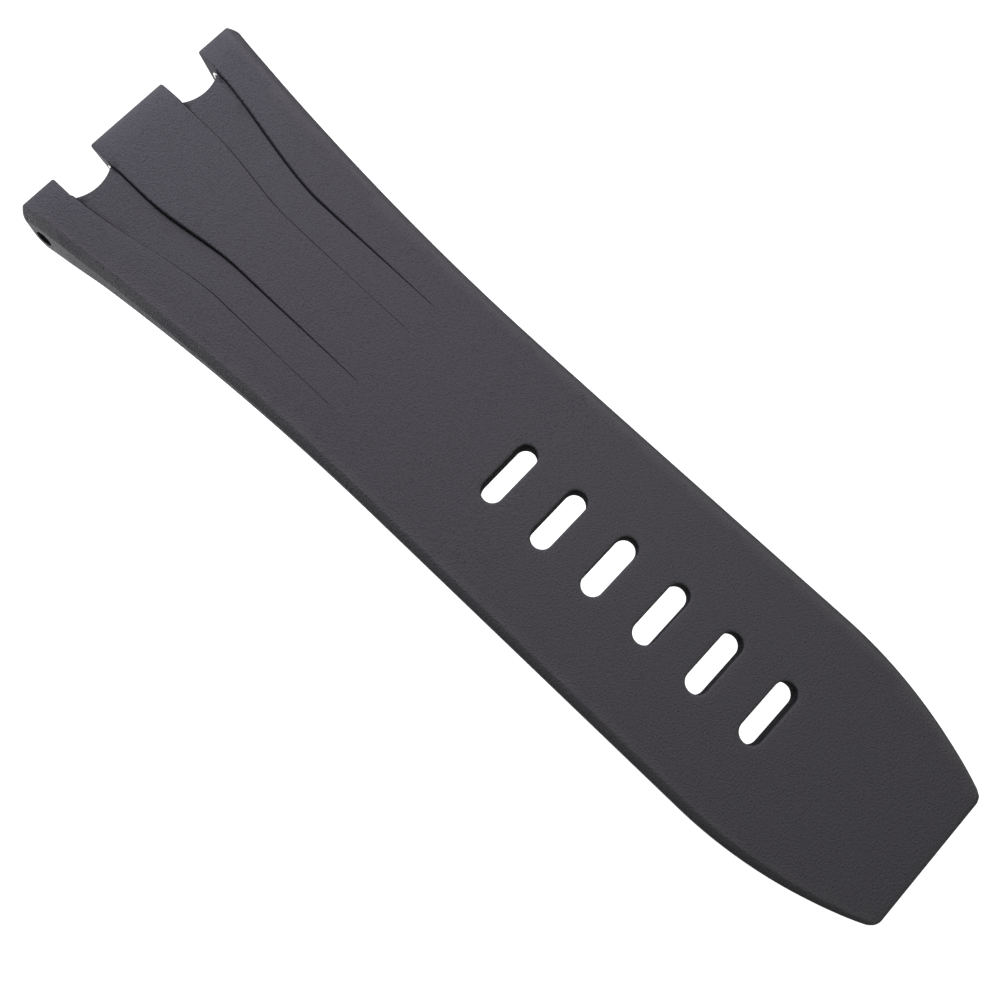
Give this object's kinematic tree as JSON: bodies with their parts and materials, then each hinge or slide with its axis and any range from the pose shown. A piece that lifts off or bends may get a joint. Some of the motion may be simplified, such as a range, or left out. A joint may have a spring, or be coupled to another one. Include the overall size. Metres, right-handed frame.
{
  "type": "rubber watch strap",
  "caption": "Long half of a moulded rubber watch strap, with tongues and a cross bore for the lug bar, sunken channels, buckle slots and a tapered tail. It bends along its length.",
  "frame": {"origin": "middle of the lug bore, on its axis", "axes": "+X from the bore to the tail, +Y across the strap along the bore, +Z out of the worn face"},
  "size_m": [0.1063, 0.0308, 0.0055],
  "materials": {
    "strap_rubber": "matte, finely grained charcoal",
    "liner_steel": "satin"
  },
  "bodies": {
    "case_end": {"case_end": "strap_rubber", "liner_left": "liner_steel", "liner_centre": "liner_steel", "liner_right": "liner_steel"},
    "channel_section_1": {"channel_section_1": "strap_rubber"},
    "channel_section_2": {"channel_section_2": "strap_rubber"},
    "channel_section_3": {"channel_section_3": "strap_rubber"},
    "plain_section_1": {"plain_section_1": "strap_rubber"},
    "plain_section_2": {"plain_section_2": "strap_rubber"},
    "slot_section_1": {"slot_section_1": "strap_rubber"},
    "slot_section_2": {"slot_section_2": "strap_rubber"},
    "slot_section_3": {"slot_section_3": "strap_rubber"},
    "slot_section_4": {"slot_section_4": "strap_rubber"},
    "slot_section_5": {"slot_section_5": "strap_rubber"},
    "slot_section_6": {"slot_section_6": "strap_rubber"},
    "tail_section": {"tail_section": "strap_rubber"},
    "tail_tip": {"tail_tip": "strap_rubber"}
  },
  "joints": [
    {"name": "bend_1", "type": "hinge", "parent": "case_end", "child": "channel_section_1", "pos_m": [0.0122, 0, -0.00072], "axis": [0, 1, 0], "range_deg": [-2.3, 6.91], "stiffness_Nm_per_rad": 0.0988},
    {"name": "bend_2", "type": "hinge", "parent": "channel_section_1", "child": "channel_section_2", "pos_m": [0.0195, 0, -0.00086], "axis": [0, 1, 0], "range_deg": [-2.57, 7.73], "stiffness_Nm_per_rad": 0.0752},
    {"name": "bend_3", "type": "hinge", "parent": "channel_section_2", "child": "channel_section_3", "pos_m": [0.0268, 0, -0.00095], "axis": [0, 1, 0], "range_deg": [-2.8, 8.41], "stiffness_Nm_per_rad": 0.0611},
    {"name": "bend_4", "type": "hinge", "parent": "channel_section_3", "child": "plain_section_1", "pos_m": [0.0341, 0, -0.00101], "axis": [0, 1, 0], "range_deg": [-2.95, 8.86], "stiffness_Nm_per_rad": 0.0536},
    {"name": "bend_5", "type": "hinge", "parent": "plain_section_1", "child": "plain_section_2", "pos_m": [0.0414, 0, -0.00113], "axis": [0, 1, 0], "range_deg": [-3.32, 9.97], "stiffness_Nm_per_rad": 0.0418},
    {"name": "bend_6", "type": "hinge", "parent": "plain_section_2", "child": "slot_section_1", "pos_m": [0.0487, 0, -0.00122], "axis": [0, 1, 0], "range_deg": [-3.67, 11.03], "stiffness_Nm_per_rad": 0.0378},
    {"name": "bend_7", "type": "hinge", "parent": "slot_section_1", "child": "slot_section_2", "pos_m": [0.0553, 0, -0.00128], "axis": [0, 1, 0], "range_deg": [-3.9, 11.7], "stiffness_Nm_per_rad": 0.0336},
    {"name": "bend_8", "type": "hinge", "parent": "slot_section_2", "child": "slot_section_3", "pos_m": [0.0619, 0, -0.0013], "axis": [0, 1, 0], "range_deg": [-3.99, 11.99], "stiffness_Nm_per_rad": 0.032},
    {"name": "bend_9", "type": "hinge", "parent": "slot_section_3", "child": "slot_section_4", "pos_m": [0.0685, 0, -0.0013], "axis": [0, 1, 0], "range_deg": [-4, 12], "stiffness_Nm_per_rad": 0.032},
    {"name": "bend_10", "type": "hinge", "parent": "slot_section_4", "child": "slot_section_5", "pos_m": [0.0751, 0, -0.0013], "axis": [0, 1, 0], "range_deg": [-4, 12], "stiffness_Nm_per_rad": 0.032},
    {"name": "bend_11", "type": "hinge", "parent": "slot_section_5", "child": "slot_section_6", "pos_m": [0.0817, 0, -0.0013], "axis": [0, 1, 0], "range_deg": [-4, 12], "stiffness_Nm_per_rad": 0.032},
    {"name": "bend_12", "type": "hinge", "parent": "slot_section_6", "child": "tail_section", "pos_m": [0.0883, 0, -0.0013], "axis": [0, 1, 0], "range_deg": [-4, 12], "stiffness_Nm_per_rad": 0.0316},
    {"name": "bend_13", "type": "hinge", "parent": "tail_section", "child": "tail_tip", "pos_m": [0.0949, 0, -0.0013], "axis": [0, 1, 0], "range_deg": [-4, 12], "stiffness_Nm_per_rad": 0.0289}
  ]
}
